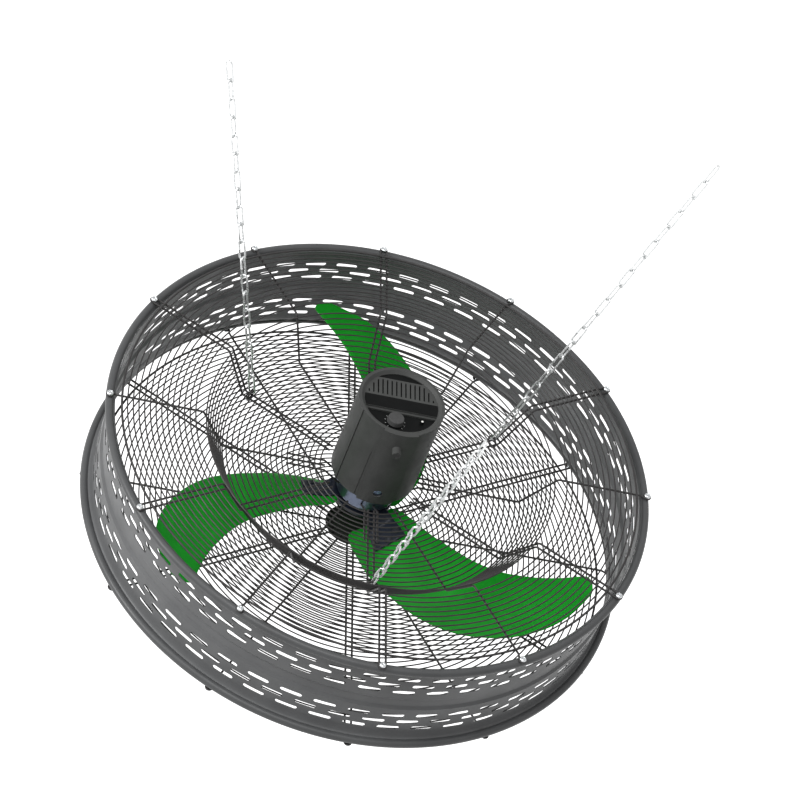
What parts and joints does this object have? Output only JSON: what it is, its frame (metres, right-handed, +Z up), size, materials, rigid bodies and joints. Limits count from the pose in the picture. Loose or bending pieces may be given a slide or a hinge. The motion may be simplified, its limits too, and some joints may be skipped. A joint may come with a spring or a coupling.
{
  "type": "ceiling fan",
  "caption": "Drum-shaped fan hung from chains, with wire guards, a slotted steel shell, sickle blades and a capped motor with a speed knob.",
  "frame": {"origin": "centre of the triangle of ceiling hooks, at the height where the hooks sit in the chains' top links", "axes": "+Z up along the fan's axis, towards the ceiling; the control panel is on the -Y side"},
  "size_m": [0.6704, 0.6741, 0.5421],
  "materials": {
    "powder_coat": "satin anthracite powder coat",
    "black_coat": "satin black coat on wire",
    "zinc": "bright zinc plate",
    "galvanised": "bright galvanised wire",
    "cover_plastic": "fine moulded texture",
    "dark_plastic": "smooth black moulding",
    "lamp": "milky lens",
    "blue_steel": "passivated bluish steel",
    "arm_paint": "dark blue-grey paint",
    "blade_paint": "satin green powder coat",
    "steel": "bare ground steel",
    "copper": "enamelled copper wire",
    "rotor": "cast aluminium and laminations",
    "board": "circuit board",
    "capacitor": "moulded case"
  },
  "bodies": {
    "housing": {"drum_shell": "powder_coat", "inlet_rim": "powder_coat", "outlet_rim": "powder_coat", "inlet_guard_outer_rings": "black_coat", "inlet_guard_step_rings": "black_coat", "inlet_guard_inner_rings": "black_coat", "inlet_guard_double_wires": "black_coat", "inlet_guard_single_wires": "black_coat", "motor_bracket_rods": "black_coat", "outlet_guard_outer_rings": "black_coat", "outlet_guard_middle_rings": "black_coat", "outlet_guard_inner_rings": "black_coat", "outlet_guard_double_wires": "black_coat", "outlet_guard_single_wires": "black_coat", "outlet_guard_disc": "black_coat", "inlet_guard_screws": "zinc", "outlet_guard_screws": "zinc", "chain_eyes": "black_coat", "motor_cover": "cover_plastic", "label_plate": "dark_plastic", "control_panel": "dark_plastic", "knob_nut": "zinc", "potentiometer": "steel", "control_board": "board", "board_components": "copper", "indicator_lamp": "lamp", "cord_gland": "cover_plastic", "gland_nut": "cover_plastic", "run_capacitor": "capacitor", "cover_pillars": "steel", "cover_screws": "zinc", "mounting_flange": "blue_steel", "motor_frame": "blue_steel", "upper_end_shield": "blue_steel", "tie_bolts": "zinc", "tie_nuts": "zinc", "stator_core": "steel", "stator_windings": "copper", "bearing_outer_rings": "steel", "bearing_balls": "steel"},
    "impeller": {"rotor_core": "rotor", "motor_shaft": "steel", "bearing_inner_rings": "steel", "hub": "arm_paint", "hub_nut": "zinc", "hub_set_screw": "steel", "blade_arms": "arm_paint", "blade_1": "blade_paint", "blade_2": "blade_paint", "blade_3": "blade_paint", "blade_rivets": "zinc", "hub_bolts": "zinc"},
    "knob": {"speed_knob": "dark_plastic", "knob_shaft": "steel"},
    "hanging_chain_1": {"chain_1": "galvanised", "chain_1_top_link": "galvanised"},
    "hanging_chain_2": {"chain_2": "galvanised", "chain_2_top_link": "galvanised"},
    "hanging_chain_3": {"chain_3": "galvanised", "chain_3_top_link": "galvanised"}
  },
  "joints": [
    {"name": "fan_spin", "type": "hinge", "parent": "housing", "child": "impeller", "pos_m": [0, 0, -0.47569], "axis": [0, 0, 1], "continuous": true},
    {"name": "speed_control", "type": "hinge", "parent": "housing", "child": "knob", "pos_m": [-0.0068, -0.0285, -0.31549], "axis": [0, 0, 1], "range_deg": [-270, 0]},
    {"name": "chain_1_swing", "type": "hinge", "parent": "housing", "child": "hanging_chain_1", "pos_m": [-0.1519, 0.0877, -0.43096], "axis": [0.5, 0.866, 0], "range_deg": [0, 38]},
    {"name": "chain_2_swing", "type": "hinge", "parent": "housing", "child": "hanging_chain_2", "pos_m": [0, -0.1754, -0.43096], "axis": [-1, 0, 0], "range_deg": [0, 38]},
    {"name": "chain_3_swing", "type": "hinge", "parent": "housing", "child": "hanging_chain_3", "pos_m": [0.1519, 0.0877, -0.43096], "axis": [0.5, -0.866, 0], "range_deg": [0, 38]}
  ]
}
